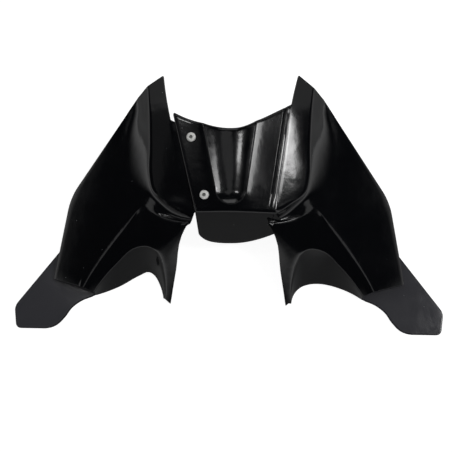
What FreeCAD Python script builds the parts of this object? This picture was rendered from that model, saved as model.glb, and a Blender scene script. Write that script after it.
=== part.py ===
import FreeCAD, Part
import os

# Tank cover for a motorcycle: a thin moulded shell that drops over the fuel tank, open side down.
# X runs across the machine, Y towards the seat and Z up.
# The cover stands on its tip plates and side skirts.
# The centre panel, its apron and the right wing are one moulding. The left wing is a second moulding, held
# under the left margin of the centre panel by two screws with hexagon nuts.

Vector = FreeCAD.Vector
doc = FreeCAD.newDocument("tank_cover")
sheet = doc.addObject("Spreadsheet::Sheet", "Sizes")

# Single sizes, in millimetres; slopes and shares are plain ratios.
sizes = {
    "wall": 3.5,
    "skirt_wall": 3.0,
    "plate_wall": 3.5,
    "margin_width": 25.0,
    "margin_slope": 0.14,
    "lap_width": 24.0,
    "seam_step": 1.2,
    "seam_lap": 8.0,
    "lap_rear_trim": 24.0,
    "lap_edge_back": 8.0,
    "lap_edge_out": 3.0,
    "lap_front_trim": 8.0,
    "rear_edge_radius": 130.0,
    "rear_edge_middle": 81.0,
    "rear_lip_depth": 8.0,
    "rear_lip_wall": 3.0,
    "rear_lip_start": 16.0,
    "foot_rise": 5.0,
    "groove_depth": 4.0,
    "flare_sideways": 0.12,
    "flare_forward": 0.6,
    "flare_level": 6.0,
    "skirt_rear_depth": 8.0,
    "skirt_ground_run": 45.0,
    "plate_corner": 9.0,
    "apron_lean": 0.47,
    "apron_wall": 3.5,
    "apron_side_inset": 0.5,
    "apron_side_taper": 2.0,
    "apron_side_drop": 40.0,
    "apron_turn_width": 6.0,
    "apron_turn_drop": 48.0,
    "apron_middle_drop": 52.5,
    "apron_tuck": 15.0,
    "apron_tuck_upper_drop": 19.0,
    "apron_tuck_lower_drop": 32.5,
    "apron_tuck_start_drop": 8.0,
    "seam_groove": 1.5,
    "channel_rear_x": -0.5,
    "channel_rear_y": 81.0,
    "channel_rear_half": 29.5,
    "channel_front_x": 2.0,
    "channel_front_y": 11.0,
    "channel_front_half": 17.5,
    "channel_depth": 6.0,
    "screw_inset": 15.0,
    "upper_screw_from_rear": 32.0,
    "lower_screw_from_rear": 99.0,
    "screw_diameter": 6.0,
    "screw_length": 16.0,
    "head_diameter": 10.5,
    "head_height": 3.3,
    "head_dome": 2.5,
    "head_land": 0.9,
    "socket_corner_radius": 2.3,
    "socket_depth": 2.0,
    "hole_clearance": 0.25,
    "thread_clearance": 0.05,
    "nut_corner_radius": 5.77,
    "nut_height": 5.0,
}

# Named places on one wing, given for the right-hand side and mirrored for the left.
places = {
    "peak": (78, 143, 115),
    "seam_rear_left": (66, 99, 116),
    "seam_rear_right": (66.5, 104, 116.5),
    "seam_front_left": (38, -14, 97),
    "seam_front_right": (47, -14, 97),
    "rim_rear": (96, 131, 107),
    "rim_upper": (93, 99, 104),
    "rim_middle": (91.5, 60, 97),
    "rim_lower": (91, 28, 91),
    "rim_corner": (87, 12, 89),
    "rim_front": (70, -3, 91),
    "foot_rear": (108, 128, 85.2),
    "foot_corner": (101, -3.5, 75.55),
    "side_corner": (215, -83, 10.6),
    "arch_prong": (74, -106, 11),
    "arch_inner": (77, -73, 40),
    "arch_turn": (84, -55, 54),
    "arch_top": (95, -48.5, 56),
    "arch_crown": (108, -49, 54),
    "arch_shoulder": (133, -67, 42),
    "arch_outer": (164.5, -97.5, 16),
    "prong_end": (70.5, -111, 8),
    "prong_middle": (62, -73, 39),
    "prong_root": (54, -38, 73),
    "lip_middle": (74.5, -17.5, 79),
    "lip_end": (45, -24, 86),
}

# Places on the flat side panel, whose plane goes through foot_rear, foot_corner and side_corner, in plan.
plan_places = {
    "foot_upper": (108.5, 97),
    "foot_middle": (108, 62),
    "foot_lower": (107.5, 25),
    "elbow": (196, 16),
    "crease_middle": (137.5, -42.5),
    "crease_end": (171, -96),
}

# Corners of the flat tip plate in plan, measured from the side panel's front corner, beginning where the
# plate comes out from under the panel. The last four lie under the arch and are measured from its outer end.
tip_corners = {
    "tip_root": (-6, 39.5),
    "tip_side": (48.5, -33),
    "tip_nose": (44.5, -60),
    "tip_front": (1, -60),
    "tip_waist": (26, -19),
    "tip_neck": (1, -6.5),
    "tip_heel": (-22.5, 4),
    "tip_inside": (13.5, 37.5),
}

row = 1
named = dict(sizes)
for name, numbers in {**places, **plan_places, **tip_corners}.items():
    for letter, number in zip("xyz", numbers):
        named[name + "_" + letter] = number
for name, number in named.items():
    sheet.set("A%d" % row, name)
    sheet.set("B%d" % row, str(number))
    sheet.setAlias("B%d" % row, name)
    row += 1
doc.recompute()


def size(name):
    return float(sheet.get(name))


wall = size("wall")
down = Vector(0, 0, -1)


def place(name):
    x = size(name + "_x")
    y = size(name + "_y")
    if name in places:
        return Vector(x, y, size(name + "_z"))
    corner = place("side_corner")
    across = (place("foot_rear") - corner).cross(place("foot_corner") - corner)
    fall = (across.x * (x - corner.x) + across.y * (y - corner.y)) / across.z
    return Vector(x, y, corner.z - fall)


def along(start, end, share):
    return start + (end - start) * share


def line(start, end):
    return Part.LineSegment(start, end).toShape()


def spacing(points):
    """Running distance along the points, which paces a curve through them."""
    steps = [0.0]
    for start, end in zip(points, points[1:]):
        steps.append(steps[-1] + (end - start).Length)
    return steps


def chain(points, breaks=(), steps=None):
    """One smooth curve through the points, cut into edges at the numbered points."""
    steps = steps or spacing(points)
    curve = Part.BSplineCurve()
    curve.interpolate(Points=points, Parameters=steps)
    stops = [0, *breaks, len(points) - 1]
    return [curve.toShape(steps[first], steps[last]) for first, last in zip(stops, stops[1:])]


def thickened(panels, depth):
    """A closed shell of one wall thickness, measured straight down, from panels that share their edges."""
    skin = Part.makeCompound(panels)
    skin.sewShape()
    under = skin.translated(down * depth)
    rims = []
    for edge in skin.Edges:
        if len(skin.ancestorsOfType(edge, Part.Face)) == 1:
            rims.append(edge.extrude(down * depth))
    closed = Part.makeCompound(skin.Faces + under.Faces + rims)
    closed.sewShape()
    solid = Part.makeSolid(closed.Shells[0])
    if solid.Volume < 0:
        solid.reverse()
    return solid


def upright(corners, inside):
    """An upright web through corners that stand in one vertical plane, thickened towards a point inside."""
    face = Part.Face(Part.makePolygon(corners + corners[:1]))
    across = face.normalAt(0, 0)
    if across.dot(inside - corners[0]) < 0:
        across = across * -1
    return face.extrude(across * size("skirt_wall"))


def grounded(point):
    return Vector(point.x, point.y, 0)


def wing(side, seam_drop, lap_width, edge_back=0, edge_out=0):
    """One wing with its skirts and tip plate, in right-hand coordinates."""
    seam_back = place("seam_rear_" + side) + down * seam_drop
    seam_ahead = place("seam_front_" + side) + down * seam_drop
    inwards = Vector(-1, 0, size("margin_slope"))
    seam_back = along(seam_back, seam_ahead, edge_back / (seam_ahead - seam_back).Length)
    seam_back = seam_back - inwards * edge_out
    seam_length = (seam_ahead - seam_back).Length
    seam_turn = along(seam_back, seam_ahead, 1 - size("lap_front_trim") / seam_length)
    seam_edges = [line(place("peak"), seam_back), line(seam_back, seam_turn), line(seam_turn, seam_ahead)]

    rim_names = ("rim_rear", "rim_upper", "rim_middle", "rim_lower", "rim_corner", "rim_front")
    rim = [place(name) for name in rim_names]
    rim.append(along(seam_ahead, place("lip_end"), 0.3))
    foot = [place(name) for name in ("foot_rear", "foot_upper", "foot_middle", "foot_lower", "foot_corner")]
    foot += [place("lip_middle"), place("lip_end")]
    rises = [size("foot_rise")] * 4 + [size("foot_rise") * 0.3, -size("groove_depth"), None]
    hollow = []
    for top, bottom, rise in zip(rim, foot, rises):
        point = along(top, bottom, 0.5)
        if rise is not None:
            point.z = bottom.z + rise
        hollow.append(point)
    rim_edges = chain(rim, (1, 4))
    hollow_edges = chain(hollow, (1, 4))
    foot_edges = chain(foot[:5], (1,)) + chain(foot[4:])

    panels = []
    for inner, upper, middle, lower in zip(seam_edges, rim_edges, hollow_edges, foot_edges):
        panels.append(Part.makeRuledSurface(inner, upper))
        panels.append(Part.makeRuledSurface(upper, middle))
        panels.append(Part.makeRuledSurface(middle, lower))

    elbow = place("elbow")
    side_corner = place("side_corner")
    crease_end = place("crease_end")
    crease = chain([foot[4], place("crease_middle"), crease_end])[0]
    outer_edges = [line(crease_end, side_corner), line(side_corner, elbow), line(elbow, foot[0])]
    panels.append(Part.Face(Part.Wire([*foot_edges[:2], crease, *outer_edges])))

    arch_parts = ("prong", "inner", "turn", "top", "crown", "shoulder", "outer")
    arch = [place("arch_" + name) for name in arch_parts]
    flare = []
    for point in arch:
        drop = point.z - size("flare_level")
        flare.append(point + Vector(size("flare_sideways"), -size("flare_forward"), -1) * drop)
    arch_edges = chain(arch, (2, 4))
    flare_edges = chain(flare, (2, 4), spacing(arch))
    prong = chain([place(name) for name in ("prong_end", "prong_middle", "prong_root", "lip_end")])[0]
    for outer, inner in zip((prong, foot_edges[2], crease), arch_edges):
        panels.append(Part.makeRuledSurface(outer, inner))
    for upper, lower in zip(arch_edges, flare_edges):
        panels.append(Part.makeRuledSurface(upper, lower))

    lap_rear = along(seam_back, seam_ahead, (size("lap_rear_trim") - edge_back) / seam_length)
    across = inwards * lap_width
    lap = [seam_back, seam_turn, seam_turn + across, lap_rear + across, seam_back]
    panels.append(Part.Face(Part.makePolygon(lap)))
    shell = thickened(panels, wall)

    under = Vector(120, -20, 0)
    ground_share = size("skirt_ground_run") / (foot[0] - elbow).Length
    ground_end = along(grounded(elbow), grounded(foot[0]), ground_share)
    skirt_end = foot[0] + down * size("skirt_rear_depth")
    webs = [upright([foot[0], elbow, grounded(elbow), ground_end, skirt_end], under)]
    spans = [elbow, side_corner, crease_end, arch[-1]]
    for start, end in zip(spans, spans[1:]):
        webs.append(upright([start, end, grounded(end), grounded(start)], under))
    # The arch's outer end is closed by a last web, which starts inside the web before it.
    backwards = grounded(arch[-1]) - grounded(flare[-1])
    backwards.normalize()
    back = arch[-1] + backwards * (size("skirt_wall") / 2) + down * wall
    closing = [arch[-1], flare[-1], grounded(flare[-1]), grounded(back), back]
    webs.append(upright(closing, side_corner))

    corners = []
    for number, name in enumerate(tip_corners):
        carrier = side_corner if number < 4 else arch[-1]
        corners.append(grounded(carrier) + Vector(size(name + "_x"), size(name + "_y"), 0))
    plate = Part.Face(Part.makePolygon(corners + corners[:1])).extrude(Vector(0, 0, size("plate_wall")))
    rounded = []
    for edge in plate.Edges:
        foot_point = grounded(edge.Vertexes[0].Point)
        stands = edge.BoundBox.ZLength > size("plate_wall") / 2
        if stands and any(foot_point.isEqual(corner, 0.01) for corner in corners[1:5]):
            rounded.append(edge)
    plate = plate.makeFillet(size("plate_corner"), rounded)
    return shell.multiFuse([*webs, plate]).Solids[0]


def mirrored(point):
    return Vector(-point.x, point.y, point.z)


# The two seams, as the edges of the centre panel's upper face.
left_rear = mirrored(place("seam_rear_left"))
left_front = mirrored(place("seam_front_left"))
right_rear = place("seam_rear_right")
right_front = place("seam_front_right")
margin = Vector(size("margin_width"), 0, size("margin_width") * size("margin_slope"))


def section(left, right):
    """Cross-section of the centre panel: a flat margin, a tangent arc and the other flat margin."""
    arc_left = left + margin
    arc_right = right + mirrored(margin)
    half = (arc_right - arc_left).Length / 2
    slope = size("margin_slope")
    rise = half * ((1 + slope * slope) ** 0.5 - 1) / slope
    top = along(arc_left, arc_right, 0.5) - down * rise
    return [line(left, arc_left), Part.Arc(arc_left, top, arc_right).toShape(), line(arc_right, right)], top


rear_section, rear_top = section(left_rear, right_rear)
front_section, front_top = section(left_front, right_front)
centre_panels = [Part.makeRuledSurface(rear_section[1], front_section[1])]
for rear, front, across in ((left_rear, left_front, margin), (right_rear, right_front, mirrored(margin))):
    flat = Part.makePolygon([rear, rear + across, front + across, front, rear])
    centre_panels.append(Part.Face(flat))


def channel_tool(extra):
    """A cone lying on the panel: with a round end it scoops the channel, and larger it forms its wall."""
    balls = []
    for end in ("rear", "front"):
        y = size("channel_%s_y" % end)
        half = size("channel_%s_half" % end)
        depth = size("channel_depth")
        radius = (half * half + depth * depth) / (2 * depth)
        top = along(rear_top, front_top, (y - rear_top.y) / (front_top.y - rear_top.y)).z
        balls.append((Vector(size("channel_%s_x" % end), y, top - depth + radius), radius))
    (rear, rear_radius), (front, front_radius) = balls
    axis = rear - front
    sine = (rear_radius - front_radius) / axis.Length
    cosine = (1 - sine * sine) ** 0.5
    axis.normalize()
    start_radius = (front_radius + extra) * cosine
    length = 1.5 * (rear - front).Length
    end_radius = start_radius + length * sine / cosine
    start = front - axis * (front_radius + extra) * sine
    if extra == 0:
        cone = Part.makeCone(start_radius, end_radius, length, start, axis)
        return cone.fuse(Part.makeSphere(front_radius, front))
    ahead = size("channel_front_half") + extra
    nose_radius = start_radius - ahead * sine / cosine
    return Part.makeCone(nose_radius, end_radius, length + ahead, start - axis * ahead, axis)


def centre_panel():
    """The arched panel with its turned-down concave rear edge and the channel."""
    rear_y = size("rear_edge_middle") + size("rear_edge_radius")
    floor = Vector(0, rear_y, 0)
    cut_away = Part.makeCylinder(size("rear_edge_radius"), 300, floor)
    lip_ring = Part.makeCylinder(size("rear_edge_radius") + size("rear_lip_wall"), 300, floor)
    lip = thickened(centre_panels, size("rear_lip_depth")).common(lip_ring)
    left_part = Vector(left_rear.x + size("rear_lip_start") - 200, 0, 0)
    lip = lip.cut(Part.makeBox(200, 300, 300, left_part))
    trough = thickened(centre_panels, size("channel_depth") + 2 * wall).common(channel_tool(wall))
    panel = thickened(centre_panels, wall).multiFuse([lip, trough])
    return panel.cut(channel_tool(0)).cut(cut_away)


def apron():
    """The front apron, turned down from the fold and running out under the groove of the right wing."""
    fall = Vector(0, -size("apron_lean"), -1) * (size("apron_middle_drop") * 1.2)
    tuck = right_front + Vector(margin.x, 0, -margin.z) * (size("apron_tuck") / margin.x)
    slabs = []
    for edge in [*front_section, line(right_front, tuck)]:
        slabs.append(edge.extrude(fall).extrude(Vector(0, size("apron_wall"), 0)))
    turned_down = slabs[0].multiFuse(slabs[1:])

    def corner(x, drop):
        return Vector(x, -200, left_front.z - drop)

    left = left_front.x + size("apron_side_inset")
    turn = left + size("apron_side_taper") + size("apron_turn_width")
    middle = (left_front.x + right_front.x) / 2
    lower = chain([
        corner(left + size("apron_side_taper"), size("apron_side_drop")),
        corner(turn, size("apron_turn_drop")),
        corner(middle, size("apron_middle_drop")),
        corner(tuck.x, size("apron_tuck_lower_drop")),
    ])
    inner_top = corner(right_front.x, -margin.z * 4)
    corners = [
        corner(tuck.x, size("apron_tuck_lower_drop")),
        corner(tuck.x, size("apron_tuck_upper_drop")),
        corner(right_front.x, size("apron_tuck_start_drop")),
        inner_top,
        corner(left, -margin.z * 4),
        corner(left + size("apron_side_taper"), size("apron_side_drop")),
    ]
    edges = lower + [line(start, end) for start, end in zip(corners, corners[1:])]
    window = Part.Face(Part.Wire(edges)).extrude(Vector(0, 400, 0))
    return turned_down.common(window)


right_wing = wing("right", size("seam_step"), size("seam_lap"))
left_wing = wing("left", wall, size("lap_width"), size("lap_edge_back"), size("lap_edge_out"))
left_wing = left_wing.mirror(Vector(0, 0, 0), Vector(1, 0, 0))
groove_axis = right_front - right_rear
groove = Part.makeCylinder(size("seam_groove"), groove_axis.Length, right_rear, groove_axis)

centre = centre_panel().fuse(apron()).removeSplitter().Solids[0]
fuse_tolerance = 0.001
main_moulding = doc.addObject("Part::Feature", "main_moulding")
main_moulding.Shape = right_wing.multiFuse([centre], fuse_tolerance).cut(groove)
left_moulding = doc.addObject("Part::Feature", "left_moulding")
left_moulding.Shape = left_wing

# The screws stand square to the flat left margin, which also carries the lap of the left moulding.
seam_step = left_front - left_rear
seam_step.normalize()
inset = Vector(1, 0, size("margin_slope"))
inset.normalize()
screw_axis = inset.cross(seam_step)
screw_axis.normalize()
if screw_axis.z < 0:
    screw_axis = screw_axis * -1
stack = 2 * wall * screw_axis.z


def part(kind, name, **expressions):
    item = doc.addObject(kind, name)
    for setting, expression in expressions.items():
        item.setExpression(setting, expression)
    return item


def boolean(kind, name, base, tool):
    item = doc.addObject(kind, name)
    item.Base = base
    item.Tool = tool
    item.Refine = False
    return item


def screw(name):
    """Button-head socket screw, its head seated at the origin and its shank pointing down."""
    disc = part("Part::Cylinder", name + "_disc", Radius="Sizes.head_diameter / 2",
                Height="Sizes.head_height - Sizes.head_dome")
    button = part("Part::Cone", name + "_button", Radius1="Sizes.head_diameter / 2",
                  Radius2="Sizes.socket_corner_radius + Sizes.head_land", Height="Sizes.head_dome")
    button.setExpression("Placement.Base.z", "Sizes.head_height - Sizes.head_dome")
    head = boolean("Part::Fuse", name + "_head", disc, button)
    shank = part("Part::Cylinder", name + "_shank", Radius="Sizes.screw_diameter / 2",
                 Height="Sizes.screw_length")
    shank.setExpression("Placement.Base.z", "-Sizes.screw_length")
    blank = boolean("Part::Fuse", name + "_blank", head, shank)
    socket = part("Part::Prism", name + "_socket", Circumradius="Sizes.socket_corner_radius",
                  Height="Sizes.head_height")
    socket.Polygon = 6
    socket.setExpression("Placement.Base.z", "Sizes.head_height - Sizes.socket_depth")
    return boolean("Part::Cut", name, blank, socket)


def nut(name):
    """Hexagon nut, seated at the origin and pointing down."""
    body = part("Part::Prism", name + "_body", Circumradius="Sizes.nut_corner_radius",
                Height="Sizes.nut_height")
    body.Polygon = 6
    body.setExpression("Placement.Base.z", "-Sizes.nut_height")
    bore_radius = "Sizes.screw_diameter / 2 + Sizes.thread_clearance"
    bore = part("Part::Cylinder", name + "_bore", Radius=bore_radius, Height="Sizes.nut_height")
    bore.setExpression("Placement.Base.z", "-Sizes.nut_height")
    return boolean("Part::Cut", name, body, bore)


turn = FreeCAD.Rotation(Vector(0, 0, 1), screw_axis)
holes = []
sub_parts = []
for level in ("upper", "lower"):
    seat = left_rear + seam_step * size(level + "_screw_from_rear") + inset * size("screw_inset")
    hole = part("Part::Cylinder", level + "_hole", Radius="Sizes.screw_diameter / 2 + Sizes.hole_clearance",
                Height="6 * Sizes.wall")
    hole.Placement = FreeCAD.Placement(seat - screw_axis * 3 * wall, turn)
    holes.append(hole)
    fixing = screw(level + "_screw")
    fixing.Placement = FreeCAD.Placement(seat, turn)
    fastener = nut(level + "_nut")
    fastener.Placement = FreeCAD.Placement(seat - screw_axis * stack, turn)
    sub_parts += [fixing, fastener]

hole_pair = doc.addObject("Part::MultiFuse", "hole_pair")
hole_pair.Shapes = holes
sub_parts.append(boolean("Part::Cut", "main_cover", main_moulding, hole_pair))
sub_parts.append(boolean("Part::Cut", "left_panel", left_moulding, hole_pair))
doc.recompute()

for item in doc.Objects:
    if {"Invalid", "Error"} & set(item.State):
        raise RuntimeError("failed: " + item.Name)
for item in sub_parts:
    item.Label = item.Name
    shape = item.Shape
    if shape.isNull() or not shape.isValid() or len(shape.Solids) != 1:
        raise RuntimeError("bad solid: %s, %d solids" % (item.Name, len(shape.Solids)))
os.makedirs("parts", exist_ok=True)
for item in sub_parts:
    item.Shape.exportStep("parts/%s.step" % item.Label)
    print(item.Label, round(item.Shape.Volume), "cubic mm")
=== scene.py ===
import math

import bpy
from mathutils import Matrix, Vector
from mathutils.geometry import interpolate_bezier


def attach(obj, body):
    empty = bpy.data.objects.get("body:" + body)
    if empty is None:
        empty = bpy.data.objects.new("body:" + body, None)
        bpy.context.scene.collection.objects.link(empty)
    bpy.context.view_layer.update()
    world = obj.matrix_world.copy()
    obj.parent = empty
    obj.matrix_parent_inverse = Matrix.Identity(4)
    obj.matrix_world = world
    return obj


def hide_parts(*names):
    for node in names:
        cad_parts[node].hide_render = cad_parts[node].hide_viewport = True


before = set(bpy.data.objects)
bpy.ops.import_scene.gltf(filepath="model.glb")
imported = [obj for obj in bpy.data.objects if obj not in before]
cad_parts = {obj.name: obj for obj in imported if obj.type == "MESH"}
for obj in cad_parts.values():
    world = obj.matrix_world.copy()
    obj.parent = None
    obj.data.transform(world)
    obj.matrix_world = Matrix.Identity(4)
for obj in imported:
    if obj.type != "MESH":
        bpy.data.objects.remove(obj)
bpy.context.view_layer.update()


# Left wing panel: a gloss black ABS moulding, one continuous skin from the rear peak over the inner flat and
# the hollow band to the crowned side, the arched front and the level tip.
# Its inner margin slides under the centre panel, where two screws hold it.
WALL = 0.0033
INNER_CROWN = 0.014
SIDE_CROWN = 0.012
ELBOW_ROUND = 0.016
BRINK_ROLL = 0.008
LEAST_BRINK_ROLL = 0.0012
CREASE_ROLL = 0.006
BAND_DROP = 0.010
BAND_RUN_OUT = 0.015
BAND_POINTS = 13
GROOVE_DEPTH = 0.6
GROOVE_BACK = 0.22
FOOT_ROUND = 0.0014
EDGE_ROUND = 0.0018
SKIRT_GAP = 0.0012
SKIRT_REAR_DEPTH = 0.008
SKIRT_LEVEL_SHARE = 0.3
TIP_THICKNESS = 0.0035
TIP_CORNER_ROUND = 0.006
TIP_INSET = 0.0016
TIP_EDGE_ROUND = 0.0013
CORNER_PULL = 0.6
MERGE_DISTANCE = 0.00002
MARK_DIGITS = 5
SPAN_STEPS = 5
REAR_STEPS = 16
ELBOW_POINTS = 8
OUTER_STEPS = 7
SMOOTH_ANGLE = 40


def mm(*place):
    """A place given in millimetres."""
    return Vector(place) / 1000


def drawn(places, steps):
    """A smooth line through the places, with the given steps between each pair."""
    bends = []
    for before, here, after in zip(places, places[1:], places[2:]):
        near = (here - before).length
        far = (after - here).length
        bends.append(((here - before) / near * far + (after - here) / far * near) / (near + far))
    first = 2 * (places[1] - places[0]) / (places[1] - places[0]).length
    last = 2 * (places[-1] - places[-2]) / (places[-1] - places[-2]).length
    bends = [first - bends[0], *bends, last - bends[-1]]
    line = places[:1]
    for start, end, leaving, arriving in zip(places, places[1:], bends, bends[1:]):
        reach = (end - start).length / 3
        run = interpolate_bezier(start, start + leaving * reach, end - arriving * reach, end, steps + 1)
        line = line + run[1:]
    return line


def ruled(upper, lower, count, crown=0.0):
    """Rows of points from one line to another, raised in the middle by a share of the local width."""
    rows = []
    for step in range(count + 1):
        share = step / count
        row = []
        for start, end in zip(upper, lower):
            rise = 4 * share * (1 - share) * crown * (end - start).length
            row.append(start.lerp(end, share) + Vector((0, 0, rise)))
        rows.append(row)
    return rows


def crossed(lines):
    """The rows of a grid from the lines that run the other way."""
    return [list(row) for row in zip(*lines)]


def eased(value, start, end):
    """Goes smoothly from 0 to 1 between two values."""
    share = min(max((value - start) / (end - start), 0), 1)
    return share * share * (3 - 2 * share)


def toward(start, end, reach, most=1.0):
    """The point a given reach from one point to another, and at most a share of the way."""
    return start.lerp(end, min(reach / (end - start).length, most))


def turned(start, corner, end, count):
    """Rounds a corner from one point to another."""
    leaving = start.lerp(corner, CORNER_PULL)
    arriving = end.lerp(corner, CORNER_PULL)
    return interpolate_bezier(start, leaving, arriving, end, count)


def cut_corner(before, corner, after, reach, count, most=1.0):
    """Rounds a corner between two points, from a given reach before it to the same reach after it."""
    start = toward(corner, before, reach, most)
    end = toward(corner, after, reach, most)
    return turned(start, corner, end, count)


def sheet(rows):
    """A grid whose vertices are laid on the rows of points."""
    bpy.ops.object.select_all(action="DESELECT")
    bpy.ops.mesh.primitive_grid_add(x_subdivisions=len(rows[0]) - 1, y_subdivisions=len(rows) - 1)
    grid = bpy.context.object
    for vertex, point in zip(grid.data.vertices, sum(rows, [])):
        vertex.co = point
    return grid


def take(pieces):
    """Selects only these objects and makes the first one active."""
    bpy.ops.object.select_all(action="DESELECT")
    for piece in pieces:
        piece.select_set(True)
    bpy.context.view_layer.objects.active = pieces[0]


def edit_all(piece):
    """Goes into edit mode with the whole mesh of a piece selected."""
    take([piece])
    bpy.ops.object.mode_set(mode="EDIT")
    bpy.ops.mesh.select_all(action="SELECT")


def turn_faces_out():
    """Turns the faces of the mesh in edit mode outwards and leaves edit mode."""
    bpy.ops.mesh.select_all(action="SELECT")
    bpy.ops.mesh.normals_make_consistent(inside=False)
    bpy.ops.object.mode_set(mode="OBJECT")


def welded(pieces, name):
    """One object from several sheets, with shared edges merged and faces turned outwards."""
    take(pieces)
    bpy.ops.object.join()
    whole = bpy.context.object
    whole.name = name
    whole.data.name = name
    edit_all(whole)
    bpy.ops.mesh.remove_doubles(threshold=MERGE_DISTANCE)
    bpy.ops.mesh.dissolve_degenerate(threshold=MERGE_DISTANCE)
    turn_faces_out()
    if sum(face.normal.z * face.area for face in whole.data.polygons) < 0:
        whole.data.flip_normals()
    return whole


def mark(point):
    """A point rounded off, so that it can be found again in a mesh."""
    return tuple(round(value, MARK_DIGITS) for value in point)


def pick_edges(piece, lines):
    """Goes into edit mode with the edges that follow the lines selected."""
    take([piece])
    bpy.ops.object.mode_set(mode="EDIT")
    bpy.ops.mesh.select_mode(type="EDGE")
    bpy.ops.mesh.select_all(action="DESELECT")
    bpy.ops.object.mode_set(mode="OBJECT")
    runs = set()
    for line in lines:
        marks = [mark(point) for point in line]
        runs.update(frozenset(pair) for pair in zip(marks, marks[1:]))
    corners = [mark(vertex.co) for vertex in piece.data.vertices]
    for edge in piece.data.edges:
        edge.select = frozenset(corners[index] for index in edge.vertices) in runs
    bpy.ops.object.mode_set(mode="EDIT")


def rounded(piece, lines, width):
    """Rounds off the edges that follow the lines."""
    pick_edges(piece, lines)
    bpy.ops.mesh.bevel(offset=width, segments=3, profile=0.5, affect="EDGES", clamp_overlap=True)
    bpy.ops.object.mode_set(mode="OBJECT")


def finished(piece, kind, **settings):
    """Adds a modifier to a piece and applies it."""
    take([piece])
    modifier = piece.modifiers.new(kind.lower(), kind)
    for name, value in settings.items():
        setattr(modifier, name, value)
    bpy.ops.object.modifier_apply(modifier=modifier.name)


def smooth(piece, angle):
    """Shades a piece smooth, except at edges sharper than an angle in degrees."""
    take([piece])
    bpy.ops.object.shade_smooth_by_angle(angle=math.radians(angle))


def band_rows(rim, foot, side_row, fork):
    """The hollow band from the rim to its foot, which turns into a short groove in front of the fork."""
    steep_way = Vector((0.95, 0, -1)).normalized()
    over_rim_way = Vector((0.05, -0.2, -1))
    down = Vector((0, 0, -1))
    lines = []
    for index, (top, bottom) in enumerate(zip(rim, foot)):
        at = min(index, fork)
        from_side = (foot[at] - side_row[max(at, 1)]).normalized() * BAND_RUN_OUT
        from_side.y = 0
        hollow = eased(index, -1, 4)
        steep = ((bottom - top) / 3).lerp(steep_way * BAND_DROP, hollow)
        from_side = ((top - bottom) / 3).lerp(from_side, hollow)
        depth = (top - bottom).length * GROOVE_DEPTH
        groove = (top - bottom) * GROOVE_BACK + down * depth
        turn = eased(index, fork - 1, len(foot) - 1)
        leaving = steep.lerp(over_rim_way * depth, turn)
        arriving = from_side.lerp(groove, turn)
        lines.append(interpolate_bezier(top, top + leaving, bottom + arriving, bottom, BAND_POINTS))
    return crossed(lines)


def skirt_rows(skirt_top, elbow):
    """The wall below the outer edges, down to just off the ground and shallower towards the rear peak."""
    rear = skirt_top[0]
    bottoms = []
    for index, point in enumerate(skirt_top):
        share = (point - elbow).length / (rear - elbow).length if index < REAR_STEPS else 0
        climb = (share - SKIRT_LEVEL_SHARE) / (1 - SKIRT_LEVEL_SHARE)
        bottom = max(climb * (rear.z - SKIRT_REAR_DEPTH), SKIRT_GAP)
        bottoms.append(Vector((point.x, point.y, bottom)))
    return ruled(skirt_top, bottoms, count=3)


def lap_rows(seam, width):
    """The margin that runs on under the centre panel, which starts and ends one span inside the seam."""
    lap_way = Vector((-1, 0, 0.14))
    lap_seam = seam[SPAN_STEPS:-SPAN_STEPS]
    widening = (lap_seam[1] - lap_seam[0]).length * 2
    under = []
    for point in lap_seam:
        share = min((point - lap_seam[0]).length / widening, 1)
        under.append(point + lap_way * width * share)
    return ruled(under, lap_seam, count=3)


def tip_plate():
    """The level plate at the end of a wing, with rounded corners and edges."""
    root = mm(209, -43.5, 0)
    outer = mm(263.5, -116, 0)
    end = mm(259.5, -143, 0)
    waist = drawn([mm(224, -143, 0), mm(211, -139.3, 0), mm(200, -128.5, 0), mm(192.5, -117.5, 0),
                   mm(181, -108.5, 0), mm(165, -101.5, 0), mm(150, -88, 0)], steps=4)
    outline = [root]
    outline += cut_corner(root, outer, end, TIP_CORNER_ROUND, count=8)
    outline += cut_corner(outer, end, waist[0], TIP_CORNER_ROUND, count=8)
    outline += waist + [mm(178, -60, 0)]
    bpy.ops.object.select_all(action="DESELECT")
    bpy.ops.mesh.primitive_circle_add(vertices=len(outline), fill_type="NGON")
    tip = bpy.context.object
    for vertex, corner in zip(tip.data.vertices, outline):
        vertex.co = corner
    edit_all(tip)
    bpy.ops.mesh.extrude_region_move(TRANSFORM_OT_translate={"value": (0, 0, TIP_THICKNESS)})
    bpy.ops.mesh.inset(thickness=TIP_INSET)
    turn_faces_out()
    finished(tip, "BEVEL", width=TIP_EDGE_ROUND, segments=3, limit_method="ANGLE", angle_limit=1.0)
    return tip


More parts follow.
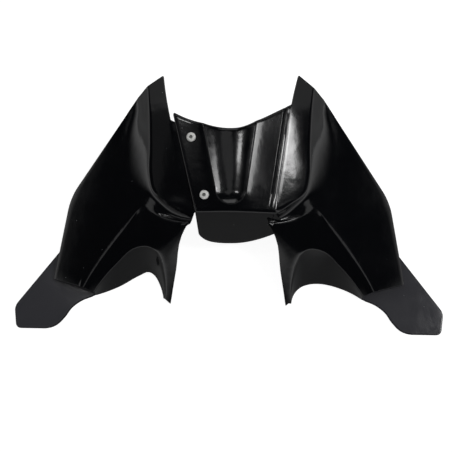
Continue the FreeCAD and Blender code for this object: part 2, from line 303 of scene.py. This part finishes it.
def wing(seam, lap, flare_places):
    """One wing with its tip in right-hand coordinates, from its seam, its lap and its flare's lower edge."""
    prong_root = mm(45, -24, 86)
    rim = drawn([mm(96, 131, 107), mm(93, 99, 104), mm(91.5, 60, 97), mm(91, 28, 91), mm(87, 12, 89),
                 mm(70, -3, 91), seam[-1].lerp(prong_root, 0.3)], SPAN_STEPS)
    fork_place = 4
    foot_places = [mm(109, 125.5, 87), mm(119.5, 97, 78), mm(125, 62, 72.2), mm(123, 25, 69.4),
                   mm(101, -3.5, 76.5), mm(74.5, -17.5, 79), prong_root]
    foot = drawn(foot_places, SPAN_STEPS)
    fork = fork_place * SPAN_STEPS
    crease = drawn([foot_places[fork_place], mm(137.5, -42.5, 54), mm(172, -95, 31)], SPAN_STEPS)

    elbow = mm(196, 16, 30)
    side_corner = mm(215, -83, 10.6)
    before_elbow = toward(elbow, foot[0], ELBOW_ROUND)
    after_elbow = toward(elbow, side_corner, ELBOW_ROUND)
    edge = [foot[0].lerp(before_elbow, step / REAR_STEPS) for step in range(REAR_STEPS)]
    edge += turned(before_elbow, elbow, after_elbow, ELBOW_POINTS)
    edge += [after_elbow.lerp(side_corner, step / OUTER_STEPS) for step in range(1, OUTER_STEPS + 1)]

    arch_turn = mm(84, -55, 54)
    arch = drawn([mm(77.5, -105, 11), mm(78, -73, 40), arch_turn], steps=6)
    arch += drawn([arch_turn, mm(95, -48.5, 56), mm(108, -49, 54), mm(133, -67, 42),
                   mm(161.5, -99.5, 22)], SPAN_STEPS)[1:]
    flare = drawn(flare_places[:3], steps=6) + drawn(flare_places[2:], SPAN_STEPS)[1:]
    prong = drawn([mm(70.5, -111, 8), mm(62, -73, 39), mm(54, -38, 73), prong_root], steps=4)
    brow = prong + foot[-2:fork:-1]
    brow_fork = len(brow)
    brow = brow + [foot[fork]] + crease[1:]

    # The arch's edge is rolled wide beside the prong and tighter further out.
    brinks = []
    for index, (top, corner, bottom) in enumerate(zip(brow, arch, flare)):
        roll = LEAST_BRINK_ROLL + BRINK_ROLL * eased(index, -1, 5) * (1 - eased(index, 8, 15))
        brinks.append(cut_corner(top, corner, bottom, roll, count=6, most=0.4))
    brink = crossed(brinks)
    # The crease starts sharp at the fork and soon rounds off.
    crests = []
    for index, (out, corner, ahead) in enumerate(zip(edge[fork:], crease, brink[0][brow_fork:])):
        roll = CREASE_ROLL * eased(index, 0, 3)
        crests.append(cut_corner(out, corner, ahead, roll, count=7, most=0.45))
    crest = crossed(crests)

    inner_flat = ruled(seam, rim, count=8, crown=INNER_CROWN)
    side = ruled(foot[:fork] + crest[0], edge, count=10, crown=SIDE_CROWN)
    front = ruled(brow[:brow_fork] + crest[-1], brink[0], count=7)
    flare_wall = brink[:-1] + ruled(brink[-1], flare, count=5)
    band = band_rows(rim, foot, side[1], fork)
    skirt_top = list(edge)
    for rows in (side[::-1], crest, front):
        skirt_top += [row[-1] for row in rows][1:]
    skirt = skirt_rows(skirt_top, elbow)

    parts = [inner_flat, band, side, crest, front, flare_wall, skirt, lap_rows(seam, lap)]
    skin = welded([sheet(rows) for rows in parts], "wing_skin")
    groove_line = foot[fork + 2:-1]
    corner_line = [row[len(edge) - 1] for row in skirt]
    side_end = [row[-1] for row in side[::-1]]
    rounded(skin, [groove_line], FOOT_ROUND)
    rounded(skin, [edge[3:], corner_line, side_end[:-1]], EDGE_ROUND)
    finished(skin, "SOLIDIFY", thickness=WALL, offset=-1, use_even_offset=False)
    tip = tip_plate()
    take([skin, tip])
    bpy.ops.object.join()
    return skin


LEFT_LAP = 0.024
left_back = mm(68.6, 89.5, 110.4)
left_front = mm(38, -14, 93.5)
left_line = [mm(78, 140.3, 115), left_back]
left_line += [left_back.lerp(left_front, share) for share in (0.33, 0.62, 0.79, 0.927, 1)]
left_flare = [mm(79.5, -104, 6), mm(82.5, -92.5, 6), mm(89, -79, 6), mm(99.8, -72, 6), mm(109, -76, 6),
              mm(135, -91, 6), mm(164, -101.5, 3)]
left_panel = wing(drawn(left_line, SPAN_STEPS), LEFT_LAP, left_flare)
left_panel.name = "left_wing"
edit_all(left_panel)
bpy.ops.transform.resize(value=(-1, 1, 1), center_override=(0, 0, 0))
bpy.ops.mesh.flip_normals()
bpy.ops.object.mode_set(mode="OBJECT")
smooth(left_panel, SMOOTH_ANGLE)


def linear(code):
    """Linear colour from an sRGB hex code."""
    values = [int(code[start:start + 2], 16) / 255 for start in (1, 3, 5)]
    bent = [value / 12.92 if value <= 0.04045 else ((value + 0.055) / 1.055) ** 2.4 for value in values]
    return (*bent, 1)


def add_node(material, kind, links=None, **settings):
    """Adds a shader node with its settings, and sets or links its sockets."""
    node = material.node_tree.nodes.new("ShaderNode" + kind)
    for name, value in settings.items():
        setattr(node, name, value)
    for socket, value in (links or {}).items():
        if isinstance(value, bpy.types.NodeSocket):
            material.node_tree.links.new(value, node.inputs[socket])
        else:
            node.inputs[socket].default_value = value
    return node


# High-gloss ABS straight from a polished mould: nearly black, with a mirror-like skin that shows its light
# through a slight waviness, handling scratches, wiped smears and a little dust.
# Near the ground, the level faces of the tips get a painted reflection: a dark grey base colour that stands
# in for the overhead sheen.
# Scratches and dust are drawn coarser than real ones, so that they show in the render.
BLACK = "#090A0D"
TIP_SHEEN_GREY = "#3A3A3F"
DUST_GREY = "#77797B"
WAVE = 0.012
WAVE_DEPTH = 0.0001
PEEL = 0.0025
PEEL_DEPTH = 0.000012
SMEAR = 0.035
SCRATCH = 1 / 900
SCRATCH_DULLNESS = 0.12
DUST = 0.006
BARE_SHARE = 0.94
SPECK_SHARE = 0.07
TIP_SHEEN_TOP = 0.008
abs_gloss = bpy.data.materials.new("gloss_black_abs")
abs_gloss.use_nodes = True
abs_shader = abs_gloss.node_tree.nodes["Principled BSDF"]
abs_shader.inputs["IOR"].default_value = 1.5
abs_place = add_node(abs_gloss, "TexCoord").outputs["Object"]
smear = add_node(abs_gloss, "TexNoise", {"Vector": abs_place, "Scale": 1 / SMEAR, "Detail": 5,
                                         "Roughness": 0.6})
long_way = add_node(abs_gloss, "Mapping", {"Vector": abs_place, "Rotation": (0, 0, 0.5),
                                           "Scale": (1, 0.06, 0.5)})
scratch = add_node(abs_gloss, "TexNoise", {"Vector": long_way.outputs[0], "Scale": 1 / SCRATCH, "Detail": 2})
scratch_line = add_node(abs_gloss, "MapRange", {"Value": scratch.outputs[0], "From Min": 0.68,
                                                "From Max": 0.74})
gloss = add_node(abs_gloss, "MapRange", {"Value": smear.outputs[0], "From Min": 0.35, "From Max": 0.7,
                                         "To Min": 0.09, "To Max": 0.16})
scuffed = add_node(abs_gloss, "Math", {0: scratch_line.outputs[0], 1: SCRATCH_DULLNESS, 2: gloss.outputs[0]},
                   operation="MULTIPLY_ADD")
abs_gloss.node_tree.links.new(scuffed.outputs[0], abs_shader.inputs["Roughness"])
speck = add_node(abs_gloss, "TexVoronoi", {"Vector": abs_place, "Scale": 1 / DUST})
lone = add_node(abs_gloss, "SeparateXYZ", {0: speck.outputs["Color"]})
kept = add_node(abs_gloss, "Math", {0: lone.outputs[0], 1: BARE_SHARE}, operation="GREATER_THAN")
dot = add_node(abs_gloss, "Math", {0: speck.outputs["Distance"], 1: SPECK_SHARE}, operation="LESS_THAN")
dusty = add_node(abs_gloss, "Math", {0: kept.outputs[0], 1: dot.outputs[0]}, operation="MULTIPLY")
abs_axes = add_node(abs_gloss, "SeparateXYZ", {0: abs_place})
# Painted reflection: up-facing faces below the given height turn from black to the grey, as if they mirrored
# light from above.
near_ground = add_node(abs_gloss, "MapRange", {"Value": abs_axes.outputs[2], "From Min": TIP_SHEEN_TOP / 2,
                                               "From Max": TIP_SHEEN_TOP, "To Min": 1, "To Max": 0})
facing = add_node(abs_gloss, "NewGeometry")
facing_axes = add_node(abs_gloss, "SeparateXYZ", {0: facing.outputs["Normal"]})
facing_up = add_node(abs_gloss, "MapRange", {"Value": facing_axes.outputs[2], "From Min": 0.85,
                                             "From Max": 0.97})
painted_tip_sheen = add_node(abs_gloss, "Math", {0: near_ground.outputs[0], 1: facing_up.outputs[0]},
                  operation="MULTIPLY")
black_with_tip_sheen = add_node(abs_gloss, "Mix", {"Factor": painted_tip_sheen.outputs[0], "A": linear(BLACK),
                                    "B": linear(TIP_SHEEN_GREY)}, data_type="RGBA")
colour = add_node(abs_gloss, "Mix", {"Factor": dusty.outputs[0], "A": black_with_tip_sheen.outputs["Result"],
                                     "B": linear(DUST_GREY)}, data_type="RGBA")
abs_gloss.node_tree.links.new(colour.outputs["Result"], abs_shader.inputs["Base Color"])
wave = add_node(abs_gloss, "TexNoise", {"Vector": abs_place, "Scale": 1 / WAVE, "Detail": 1})
peel = add_node(abs_gloss, "TexNoise", {"Vector": abs_place, "Scale": 1 / PEEL, "Detail": 0})
wavy = add_node(abs_gloss, "Bump", {"Height": wave.outputs[0], "Distance": WAVE_DEPTH})
peeled = add_node(abs_gloss, "Bump", {"Height": peel.outputs[0], "Distance": PEEL_DEPTH,
                                      "Normal": wavy.outputs[0]})
abs_gloss.node_tree.links.new(peeled.outputs[0], abs_shader.inputs["Normal"])


def dressed(piece, material):
    """Gives a piece one material in place of any it has."""
    piece.data.materials.clear()
    piece.data.materials.append(material)


dressed(left_panel, abs_gloss)
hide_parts("left_panel")
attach(left_panel, "root")


# Main cover: the centre panel with its channel, the turned-down apron and the right wing, moulded in one
# from the same gloss black ABS. A double groove at the right margin copies the seam on the left.
RIGHT_LAP = 0.006
right_back = mm(70, 106, 114.6)
right_front = mm(53, -14, 95.2)
right_line = [mm(78, 142.6, 115), right_back]
right_line += [right_back.lerp(right_front, share) for share in (0.38, 0.66, 0.82, 0.93, 1)]
right_flare = [mm(77.5, -108, 6), mm(82, -94.8, 6), mm(91, -86.8, 6), mm(100, -84, 6), mm(110, -83.2, 6),
               mm(135, -88, 6), mm(164, -101.5, 3)]
right_wing = wing(drawn(right_line, SPAN_STEPS), RIGHT_LAP, right_flare)

FOLD_Y = -0.014
FOLD_LEFT = -0.038
FOLD_RADIUS = 0.003
REAR_CENTRE_Y = 0.211
REAR_RADIUS = 0.130
REAR_RISE = 0.008
RISE_FROM_X = 0.005
RISE_TO_X = 0.06
REAR_ROLL = 0.0045
CORNER_DROP = 0.003
LIP_LOW = mm(0, 0, 7.5)
LIP_MIDDLE = mm(0, 0, 5)
MARGIN = 0.025
SLOPE = 0.125
CHANNEL_REAR_Y = 0.081
CHANNEL_FRONT_Y = 0.011
CHANNEL_LENGTH = 0.070
CHANNEL_MIDDLE = -0.0005
CHANNEL_LEAN = 0.0025
CHANNEL_HALF = 0.0295
CHANNEL_TAPER = 0.012
CREST_SLOPE = 0.45
RIDGE_SLOPE = 0.22
RIDGE_RUN = 0.007
EVEN_Y = 0.014
EVEN_RUN = 0.02
GROOVE_FADE = 0.022
APRON_LEAN = 0.47
APRON_LEFT = -0.0355
APRON_RIGHT = 0.047
APRON_STEPS = 14
TUCK_X = 0.062
TUCK_TOP = 0.078
TUCK_LOW = 0.0645
TUCK_FOLD_Z = 0.0949
CENTRE_EDGE_ROUND = 0.0009
CENTRE_EDGE_ANGLE = 55
PANEL_ROWS = 70
REAR_GUESS_Y = 0.09
SETTLE_ROUNDS = 5
left_rear_edge = mm(-66, 99, 114.9)
left_front_edge = mm(-38, -14, 97)
right_rear_edge = mm(70, 106, 115.1)
right_front_edge = mm(53, -14, 96.4)


def at_y(start, end, y):
    """The point of a straight line at a place along the cover."""
    return start.lerp(end, (y - start.y) / (end.y - start.y))


def channel_at(y):
    """Middle and half width of the channel at a place along the cover."""
    share = (CHANNEL_REAR_Y - y) / CHANNEL_LENGTH
    return CHANNEL_MIDDLE + CHANNEL_LEAN * share, CHANNEL_HALF - CHANNEL_TAPER * share


def panel_height(x, y):
    """Height of the centre panel's arched upper face, with the channel and the low ridges beside it."""
    left = at_y(left_rear_edge, left_front_edge, y)
    right = at_y(right_rear_edge, right_front_edge, y)
    share = (x - left.x) / (right.x - left.x)
    inset = min(x - left.x, right.x - x)
    arch_half = (right.x - left.x) / 2 - MARGIN
    rise = SLOPE * min(inset, MARGIN)
    if inset > MARGIN:
        rise += SLOPE * arch_half / 2 * (1 - (1 - (inset - MARGIN) / arch_half) ** 2)
    middle, half = channel_at(max(y, CHANNEL_FRONT_Y))
    away = math.hypot(x - middle, min(y - CHANNEL_FRONT_Y, 0))
    ridge = RIDGE_SLOPE * RIDGE_RUN
    if away > half:
        rise += ridge * math.exp((half - away) / RIDGE_RUN)
    else:
        rise += ridge - CREST_SLOPE * half / 2 * (1 - (away / half) ** 2)
    return left.z + (right.z - left.z) * share + rise


def column_stops(y):
    """Where the main columns of the panel's grid lie across the cover: its edges, margins and channel."""
    left = at_y(left_rear_edge, left_front_edge, y).x
    right = at_y(right_rear_edge, right_front_edge, y).x
    middle, half = channel_at(y)
    stops = [left, left + MARGIN, middle - half, middle, middle + half, right - MARGIN]
    even = eased(EVEN_Y - y, 0, EVEN_RUN)
    for place in (2, 3, 4):
        level = stops[1] + (stops[5] - stops[1]) * (place - 1) / 4
        stops[place] += (level - stops[place]) * even
    return stops, right


# Columns of the panel's grid. The rolled left edge and the grooved right margin are given in millimetres,
# as a distance across from that edge and a height. The others divide the spans between the stops, and the
# rolled edge stands in for the first two of them.
edge_columns = [(0, -1.9), (0.3, -1.1), (0.8, -0.5), (1.6, -0.12), (2.6, 0)]
span_columns = []
for span, count in enumerate((10, 8, 18, 18, 8)):
    span_columns += [span + step / count for step in range(count)]
span_columns = span_columns[2:]
groove_columns = [(-25, 0), (-20, 0), (-15, 0), (-11.5, 0), (-9.15, 0),
                  (-9, 0), (-8.85, -0.06), (-7.5, -0.6), (-6.15, -0.06), (-6, 0),
                  (-5.85, 0), (-4.55, 0), (-4.4, 0), (-4.25, -0.06), (-2.4, -0.8), (-1.2, -0.45), (0, -0.9)]
first_groove = len(edge_columns) + len(span_columns)


def panel_point(index, share):
    """A point of the panel by its column and its share of the way from the rear edge to the fold."""
    y = REAR_GUESS_Y + (FOLD_Y - REAR_GUESS_Y) * share
    for settle in range(SETTLE_ROUNDS):
        stops, right = column_stops(y)
        if index < len(edge_columns):
            offset, sink = edge_columns[index]
            x = stops[0] + offset / 1000
        elif index < first_groove:
            spot = span_columns[index - len(edge_columns)]
            span = int(spot)
            x = stops[span] + (stops[span + 1] - stops[span]) * (spot - span)
            sink = 0
        else:
            offset, sink = groove_columns[index - first_groove]
            x = right + offset / 1000
        rear_y = REAR_CENTRE_Y - math.sqrt(REAR_RADIUS ** 2 - x ** 2)
        rear_y += REAR_RISE * eased(x, RISE_FROM_X, RISE_TO_X)
        if index < len(edge_columns):
            rear_y -= CORNER_DROP * (1 - offset / edge_columns[-1][0]) ** 2
        y = rear_y + (FOLD_Y - rear_y) * share
    fade = eased(y - FOLD_Y, FOLD_RADIUS, GROOVE_FADE)
    if index < len(edge_columns):
        fade = 1
    return Vector((x, y, panel_height(x, y) + sink / 1000 * fade))


apron_line = drawn([mm(-35.5, 0, 57), mm(-29.5, 0, 49), mm(4.5, 0, 44.5), mm(62, 0, 64.5)], steps=12)


def apron_low(x):
    """Height of the apron's curved lower edge."""
    for start, end in zip(apron_line, apron_line[1:]):
        if x <= end.x:
            break
    return start.lerp(end, (x - start.x) / (end.x - start.x)).z


panel_lines = []
for index in range(first_groove + len(groove_columns)):
    rear = panel_point(index, 0)
    fold = panel_point(index, 1)
    reach = rear.y - fold.y
    after_roll = panel_point(index, REAR_ROLL / reach)
    before_fold = panel_point(index, 1 - FOLD_RADIUS / reach)
    line = [rear - LIP_LOW, rear - LIP_MIDDLE]
    line += turned(rear - Vector((0, 0, REAR_ROLL)), rear, after_roll, count=7)
    for step in range(1, PANEL_ROWS):
        share = step / PANEL_ROWS
        line.append(panel_point(index, (REAR_ROLL + (reach - REAR_ROLL - FOLD_RADIUS) * share) / reach))
    spread = (APRON_RIGHT - APRON_LEFT) / (APRON_RIGHT - FOLD_LEFT)
    low_x = APRON_LEFT + (fold.x - left_front_edge.x) * spread
    low_z = apron_low(low_x)
    apron_foot = Vector((low_x, FOLD_Y - APRON_LEAN * (fold.z - low_z), low_z))
    after_fold = toward(fold, apron_foot, FOLD_RADIUS)
    line += turned(before_fold, fold, after_fold, count=7)
    line += [after_fold.lerp(apron_foot, step / APRON_STEPS) for step in range(1, APRON_STEPS + 1)]
    panel_lines.append(line)
tuck_edge = panel_lines[-1][-APRON_STEPS - 1:]
tuck_end = []
for step in range(APRON_STEPS + 1):
    tuck_z = TUCK_TOP - (TUCK_TOP - TUCK_LOW) * step / APRON_STEPS
    tuck_end.append(Vector((TUCK_X, FOLD_Y - APRON_LEAN * (TUCK_FOLD_Z - tuck_z), tuck_z)))
tuck = ruled(tuck_edge, tuck_end, count=5)

centre = welded([sheet(rows) for rows in (crossed(panel_lines), tuck)], "centre_panel")
finished(centre, "SOLIDIFY", thickness=WALL, offset=-1, use_even_offset=False)
finished(centre, "BEVEL", width=CENTRE_EDGE_ROUND, segments=2, limit_method="ANGLE",
         angle_limit=math.radians(CENTRE_EDGE_ANGLE))
main_cover = right_wing
take([main_cover, centre])
bpy.ops.object.join()
main_cover.name = "centre_and_right_wing"
smooth(main_cover, SMOOTH_ANGLE)
dressed(main_cover, abs_gloss)
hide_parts("main_cover")
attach(main_cover, "root")


# Two M6 button-head screws, cold-headed steel with bright zinc plating and a hexagon socket.
# They clamp the left margin of the centre panel down on the lap of the left wing.
SHANK_RADIUS = 0.003
SHANK_LENGTH = 0.016
HEAD_RADIUS = 0.00525
HEAD_RIM = 0.0009
DOME_HEIGHT = 0.0024
DOME_RUN = 0.0023
DOME_STEPS = 6
SOCKET_MOUTH = 0.0023
SOCKET_RADIUS = 0.0022
SOCKET_RIM = 0.0031
SOCKET_FLOOR = 0.0013
HEXAGON = 6
RING_STEPS = 48
SCREW_SMOOTH_ANGLE = 35
SCREW_INSET = 0.015
UPPER_FROM_REAR = 0.032
LOWER_FROM_REAR = 0.099
CLOUD = 0.0015
seam_way = (left_front_edge - left_rear_edge).normalized()
inset_way = Vector((1, 0, SLOPE)).normalized()
screw_axis = inset_way.cross(seam_way).normalized()
if screw_axis.z < 0:
    screw_axis.negate()


def plating(name, dark, light, metallic):
    """Plated steel whose tone and sheen vary in small clouds."""
    steel = bpy.data.materials.new(name)
    steel.use_nodes = True
    shader = steel.node_tree.nodes["Principled BSDF"]
    shader.inputs["Metallic"].default_value = metallic
    place = add_node(steel, "TexCoord").outputs["Object"]
    cloud = add_node(steel, "TexNoise", {"Vector": place, "Scale": 1 / CLOUD, "Detail": 3})
    tone = add_node(steel, "Mix", {"Factor": cloud.outputs[0], "A": linear(dark), "B": linear(light)},
                    data_type="RGBA")
    sheen = add_node(steel, "MapRange", {"Value": cloud.outputs[0], "To Min": 0.3, "To Max": 0.5})
    steel.node_tree.links.new(tone.outputs["Result"], shader.inputs["Base Color"])
    steel.node_tree.links.new(sheen.outputs[0], shader.inputs["Roughness"])
    return steel


# Bright zinc shows as a pale, slightly clouded white with a soft sheen. Down in the socket the zinc is given
# a darker grey as painted shade, so the hexagon reads as a grey spot.
zinc = plating("zinc_plated_steel", "#E4E5E2", "#FFFFFB", 0.05)
socket_zinc_painted_shade = plating("zinc_socket_painted_shade", "#6A6C6A", "#A0A29E", 0.2)


def ring(radius, height, corners=None):
    """Points of one turn round the screw, as a circle or as a polygon of that corner radius."""
    points = []
    for step in range(RING_STEPS):
        turn = math.tau * step / RING_STEPS
        reach = radius
        if corners:
            reach = radius * math.cos(math.pi / corners)
            reach /= math.cos((turn + math.pi / corners) % (math.tau / corners) - math.pi / corners)
        points.append(Vector((reach * math.cos(turn), reach * math.sin(turn), height)))
    return points + points[:1]


for name, from_rear in (("upper_screw", UPPER_FROM_REAR), ("lower_screw", LOWER_FROM_REAR)):
    seat = left_rear_edge + seam_way * from_rear + inset_way * SCREW_INSET
    rings = [ring(SHANK_RADIUS, -SHANK_LENGTH), ring(SHANK_RADIUS, 0),
             ring(HEAD_RADIUS, 0), ring(HEAD_RADIUS, HEAD_RIM)]
    for step in range(1, DOME_STEPS + 1):
        lift = step / DOME_STEPS
        dome_height = HEAD_RIM + DOME_HEIGHT * math.sin(lift * math.pi / 2)
        rings.append(ring(HEAD_RADIUS - DOME_RUN * lift ** 2, dome_height))
    rings.append(ring(SOCKET_MOUTH, HEAD_RIM + DOME_HEIGHT, HEXAGON))
    rings.append(ring(SOCKET_RADIUS, SOCKET_RIM, HEXAGON))
    rings.append(ring(SOCKET_RADIUS, SOCKET_FLOOR, HEXAGON))
    screw = welded([sheet(rings)], name + "_zinc")
    edit_all(screw)
    bpy.ops.mesh.region_to_loop()
    bpy.ops.mesh.edge_face_add()
    turn_faces_out()
    screw.data.materials.append(zinc)
    screw.data.materials.append(socket_zinc_painted_shade)
    # Painted shade: the faces down in the socket take the darker grey zinc.
    for face in screw.data.polygons:
        if HEAD_RIM < face.center.z < SOCKET_RIM and face.center.xy.length < SOCKET_RADIUS:
            face.material_index = 1
    upright = screw_axis.to_track_quat("Z", "Y").to_matrix().to_4x4()
    screw.data.transform(Matrix.Translation(seat) @ upright)
    smooth(screw, SCREW_SMOOTH_ANGLE)
    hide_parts(name)
    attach(screw, "root")


# Two M6 hexagon nuts, pressed steel with the same zinc plating, turned up on the screws under the lap.
# They are out of sight, and the CAD solids serve as they are.
for name in ("upper_nut", "lower_nut"):
    dressed(bpy.data.objects[name], zinc)


# White paper floor that the cover stands on, matt, so that it keeps the soft shadow.
# In the gloss skin's reflections the floor glows with a painted shade: dark close to the cover and paler
# further out.
FLOOR_SIZE = 30
FLOOR_GREY = "#A4A4A4"
FLOOR_GLOW = 0.93
NEAR_FLOOR = 0.25
FAR_FLOOR = 0.6
paper = bpy.data.materials.new("white_paper")
paper.use_nodes = True
paper.node_tree.nodes.clear()
floor_ray = add_node(paper, "LightPath")
mirrored = add_node(paper, "Math", {0: floor_ray.outputs["Is Glossy Ray"],
                                    1: floor_ray.outputs["Is Transmission Ray"]}, operation="ADD")
floor_place = add_node(paper, "TexCoord").outputs["Object"]
from_middle = add_node(paper, "VectorMath", {0: floor_place}, operation="LENGTH")
# Painted shade: the glow seen in reflections is dim near the cover, standing in for its shadow, and rises
# further out.
glow_with_painted_shade = add_node(paper, "MapRange", {"Value": from_middle.outputs["Value"], "From Min": NEAR_FLOOR,
                                     "From Max": FAR_FLOOR, "To Min": 0.012, "To Max": 0.3})
seen = add_node(paper, "Math", {0: mirrored.outputs[0], 1: glow_with_painted_shade.outputs[0]}, operation="MULTIPLY")
plain = add_node(paper, "Math", {0: floor_ray.outputs["Is Camera Ray"], 1: FLOOR_GLOW, 2: seen.outputs[0]},
                 operation="MULTIPLY_ADD")
glow = add_node(paper, "Emission", {"Color": (1, 1, 1, 1), "Strength": plain.outputs[0]})
matt = add_node(paper, "BsdfDiffuse", {"Color": linear(FLOOR_GREY)})
both = add_node(paper, "AddShader", {0: glow.outputs[0], 1: matt.outputs[0]})
add_node(paper, "OutputMaterial", {"Surface": both.outputs[0]})
bpy.ops.object.select_all(action="DESELECT")
bpy.ops.mesh.primitive_plane_add(size=FLOOR_SIZE)
floor = bpy.context.object
floor.name = "floor"
dressed(floor, paper)


# Studio walls: a plain white surround for the camera. The gloss skin mirrors it bright at the horizon and
# almost black overhead, so that only the lamps show on the level faces.
HORIZON_STRENGTH = 1.3
CEILING_STRENGTH = 0.01
world = bpy.data.worlds.new("studio")
bpy.context.scene.world = world
world.use_nodes = True
background = world.node_tree.nodes["Background"]
background.inputs["Color"].default_value = (1, 1, 1, 1)
world_ray = add_node(world, "LightPath")
world_way = add_node(world, "TexCoord")
world_axes = add_node(world, "SeparateXYZ", {0: world_way.outputs["Generated"]})
wall = add_node(world, "MapRange", {"Value": world_axes.outputs["Z"], "From Min": -0.05, "From Max": 0.40,
                                    "To Min": HORIZON_STRENGTH, "To Max": CEILING_STRENGTH},
                interpolation_type="SMOOTHSTEP")
brightness = add_node(world, "Math", {0: world_ray.outputs["Is Camera Ray"], 1: wall.outputs[0]},
                      operation="MAXIMUM")
world.node_tree.links.new(brightness.outputs[0], background.inputs["Strength"])


# Soft lamps and dim cards, each hung where one part of the gloss skin mirrors it.
# The fill lights the matt surfaces and isn't mirrored.
def softbox(name, place, aim, width, depth, radiance):
    """A rectangular lamp of an even brightness."""
    lamp_data = bpy.data.lights.new(name, "AREA")
    lamp_data.shape = "RECTANGLE"
    lamp_data.size = width
    lamp_data.size_y = depth
    lamp_data.energy = radiance * math.pi * width * depth
    lamp = bpy.data.objects.new(name, lamp_data)
    bpy.context.collection.objects.link(lamp)
    heading = (aim - place).to_track_quat("-Z", "Y").to_matrix().to_4x4()
    lamp.matrix_world = Matrix.Translation(place) @ heading
    return lamp


cover_middle = Vector((0, 0, 0.1))
channel_middle = Vector((0, 0.06, 0.1))
softbox("key", Vector((1.84, -0.04, 2.5)), cover_middle, width=0.34, depth=0.6, radiance=17)
softbox("crest_lamp", Vector((1.375, 0, 2.5)), cover_middle, width=0.65, depth=0.6, radiance=8)
softbox("left_card", Vector((-2.2, 0, 2.5)), cover_middle, width=1.0, depth=0.9, radiance=0.12)
softbox("channel_lamp", Vector((-0.40, 0.13, 1.4)), channel_middle, width=0.09, depth=0.14, radiance=14)
softbox("channel_card", Vector((0.04, 0.1, 1.4)), channel_middle, width=0.3, depth=0.4, radiance=0.5)
softbox("rear_strip", Vector((0, 0.95, 1.3)), cover_middle, width=0.8, depth=0.45, radiance=1.4)
for hand in (-1, 1):
    tip_middle = Vector((0.2 * hand, -0.1, 0))
    over_tip = Vector((0.78 * hand, 0.1, 2.5))
    softbox("tip_card", over_tip, tip_middle, width=0.6, depth=0.7, radiance=0.15)
    peak_middle = Vector((0.08 * hand, 0.12, 0.1))
    beside_peak = Vector((1.27 * hand, 0.55, 1.4))
    softbox("peak_card", beside_peak, peak_middle, width=0.6, depth=0.9, radiance=0.42)
    crease_middle = Vector((0.13 * hand, -0.04, 0.05))
    beside_crease = Vector((0.93 * hand, -0.5, 1.2))
    softbox("crease_lamp", beside_crease, crease_middle, width=0.4, depth=0.4, radiance=0.7)
fill = softbox("fill", Vector((0, 0.3, 2.2)), Vector((0, 0, 0)), width=2.0, depth=2.0, radiance=0.5)
fill.visible_glossy = False


# Camera in the place of the photograph's, looking almost straight down on the cover from a little in front.
# Its place, aim and lens are set so that the cover fills the frame as it does in the photograph.
camera_data = bpy.data.cameras.new("camera")
camera = bpy.data.objects.new("camera", camera_data)
bpy.context.collection.objects.link(camera)
camera_place = Vector((0.01076, -0.18642, 0.87143))
ahead = Vector((-0.01696, 0.19737, -0.98018)).normalized()
upwards = Vector((-0.01511, 0.98016, 0.19763)).normalized()
across = ahead.cross(upwards)
camera.matrix_world = Matrix((
    (across.x, upwards.x, -ahead.x, camera_place.x),
    (across.y, upwards.y, -ahead.y, camera_place.y),
    (across.z, upwards.z, -ahead.z, camera_place.z),
    (0, 0, 0, 1),
))
camera_data.sensor_width = 36
camera_data.lens = 56.117
bpy.context.scene.camera = camera
bpy.context.scene.view_settings.view_transform = "Standard"
